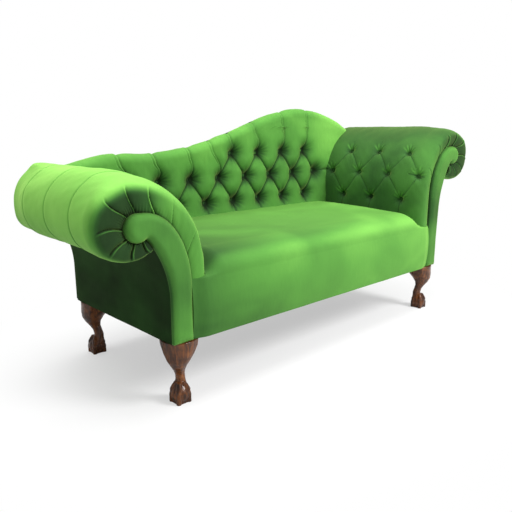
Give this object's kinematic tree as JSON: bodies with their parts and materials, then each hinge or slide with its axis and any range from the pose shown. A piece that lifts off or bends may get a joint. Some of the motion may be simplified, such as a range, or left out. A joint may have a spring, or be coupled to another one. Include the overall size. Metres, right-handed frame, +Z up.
{
  "type": "fainting couch",
  "caption": "Double-ended upholstered chaise with two unequal scroll arms, serpentine deep-buttoned back, sprung seat and carved cabriole legs.",
  "frame": {"origin": "on the floor under the middle of the couch's overall length and depth", "axes": "+X along the couch towards the high head arm, +Y towards the back, +Z up; a sitter faces -Y"},
  "size_m": [1.9278, 0.647, 0.9149],
  "materials": {
    "velvet": "plush velvet",
    "velvet_outside": "plush velvet",
    "leg_wood": "dark glossy stain",
    "beech": "sawn",
    "spring_steel": "zinc",
    "hessian": "woven jute",
    "webbing": "woven strap",
    "dust_cloth": "thin black cloth"
  },
  "bodies": {
    "root": {"arm_buttons_left": "velvet", "arm_buttons_right": "velvet", "arm_facing_left": "velvet", "arm_facing_right": "velvet", "arm_lining_left": "hessian", "arm_lining_right": "hessian", "arm_pad_left": "velvet", "arm_pad_right": "velvet", "arm_roll_rail_left": "beech", "arm_roll_rail_right": "beech", "arm_scroll_board_front_left": "beech", "arm_scroll_board_front_right": "beech", "arm_scroll_board_rear_left": "beech", "arm_scroll_board_rear_right": "beech", "arm_tacking_rail_left": "beech", "arm_tacking_rail_right": "beech", "back_buttons": "velvet", "back_crest_rail": "beech", "back_pad": "velvet", "back_post_left": "beech", "back_post_right": "beech", "back_tacking_rail": "beech", "back_upright_left": "beech", "back_upright_right": "beech", "back_webbing": "webbing", "dust_cover": "dust_cloth", "frame_dowels": "beech", "leg_bolts": "spring_steel", "leg_corner_blocks": "beech", "leg_front_left": "leg_wood", "leg_front_right": "leg_wood", "leg_rear_left": "leg_wood", "leg_rear_right": "leg_wood", "outside_arm_panel_left": "velvet_outside", "outside_arm_panel_right": "velvet_outside", "outside_back_panel": "velvet_outside", "seat_cross_rail_left": "beech", "seat_cross_rail_right": "beech", "seat_hessian": "hessian", "seat_pad": "velvet", "seat_rail_front": "beech", "seat_rail_left": "beech", "seat_rail_rear": "beech", "seat_rail_right": "beech", "seat_springs": "spring_steel", "spring_clips": "spring_steel"}
  },
  "joints": []
}
